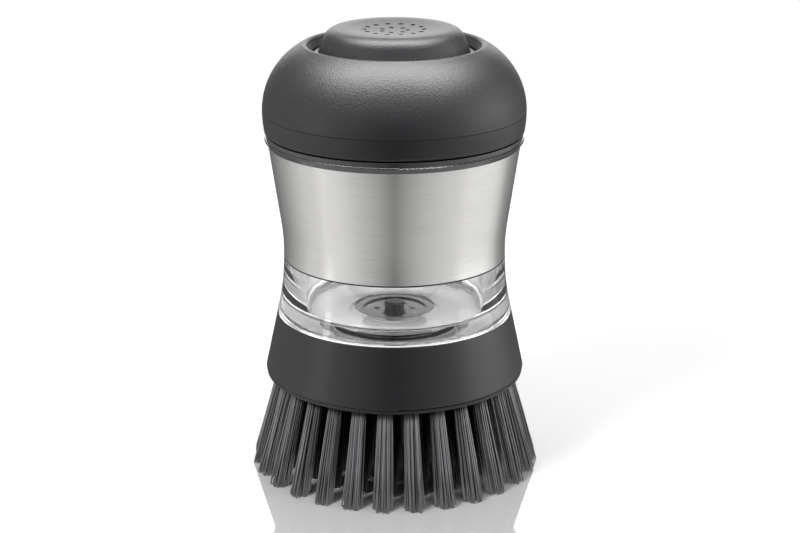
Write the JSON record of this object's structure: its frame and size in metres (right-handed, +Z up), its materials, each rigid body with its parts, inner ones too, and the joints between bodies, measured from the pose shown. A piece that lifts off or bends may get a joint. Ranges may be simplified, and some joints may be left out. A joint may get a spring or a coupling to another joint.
{
  "type": "soap dispensing palm dish brush",
  "caption": "Palm-held dish brush: knob with a sprung soap-pump button, waisted steel sleeve, clear soap reservoir with a floor valve, and a screw-on head of leaning bristle tufts.",
  "frame": {"origin": "centre of the plane of the bristle tips, on the axis of the brush", "axes": "+Z up along the axis, from the bristles to the button; the pictured front faces -Y"},
  "size_m": [0.0802, 0.0802, 0.1207],
  "materials": {
    "button_abs": "satin charcoal ABS",
    "grained_abs": "charcoal ABS with a fine moulded grain",
    "smooth_abs": "smooth charcoal ABS, low sheen",
    "grey_abs": "light grey moulded ABS",
    "clear_plastic": "clear moulded SAN",
    "smoke_plastic": "smoky grey moulded SAN",
    "brushed_steel": "stainless steel, brushed round the axis",
    "valve_plastic": "dark moulded acetal",
    "valve_rubber": "dark silicone rubber",
    "silicone": "light grey silicone rubber",
    "spring_steel": "bright stainless spring wire",
    "white_acetal": "white moulded acetal",
    "bristle_nylon": "dark grey nylon filament",
    "anchor_brass": "stamped anchor plate"
  },
  "bodies": {
    "reservoir": {"reservoir": "clear_plastic", "steel_sleeve": "brushed_steel", "neck_ring": "smoke_plastic", "valve_seat": "valve_plastic", "outlet_valve": "valve_rubber", "valve_seal": "silicone", "seat_retainer": "valve_plastic"},
    "cap_seal": {"cap_gasket": "silicone"},
    "cap": {"dome_cover": "grained_abs", "cap_collar": "smooth_abs", "pump_base": "white_acetal", "cap_screws": "spring_steel", "pump_bellows": "silicone", "return_spring": "spring_steel"},
    "button": {"push_button": "button_abs", "button_carrier": "grey_abs", "stem_clip": "spring_steel", "air_inlet_valve": "silicone"},
    "head_seal": {"head_seal": "silicone"},
    "head": {"brush_shell": "smooth_abs", "tuft_plate": "smooth_abs", "outer_tufts": "bristle_nylon", "middle_tufts": "bristle_nylon", "inner_tufts": "bristle_nylon", "centre_tufts": "bristle_nylon", "tuft_anchors": "anchor_brass"}
  },
  "joints": [
    {"name": "cap_rise", "type": "slide", "parent": "reservoir", "child": "cap_seal", "axis": [0, 0, 1], "range_m": [0, 0.0041]},
    {"name": "cap_unscrew", "type": "hinge", "parent": "cap_seal", "child": "cap", "pos_m": [0, 0, 0.097], "axis": [0, 0, 1], "range_deg": [0, 120]},
    {"name": "button_press", "type": "slide", "parent": "cap", "child": "button", "axis": [0, 0, -1], "range_m": [0, 0.005], "stiffness_N_per_m": 800, "springref_m": -0.004, "deforming": ["pump_bellows", "return_spring"]},
    {"name": "head_drop", "type": "slide", "parent": "reservoir", "child": "head_seal", "axis": [0, 0, -1], "range_m": [0, 0.0041]},
    {"name": "head_unscrew", "type": "hinge", "parent": "head_seal", "child": "head", "pos_m": [0, 0, 0.039], "axis": [0, 0, -1], "range_deg": [0, 120]}
  ],
  "couplings": [
    {"joint": "cap_rise", "follows": "cap_unscrew", "m_per_rad": 0.0019099},
    {"joint": "head_drop", "follows": "head_unscrew", "m_per_rad": 0.0019099}
  ]
}
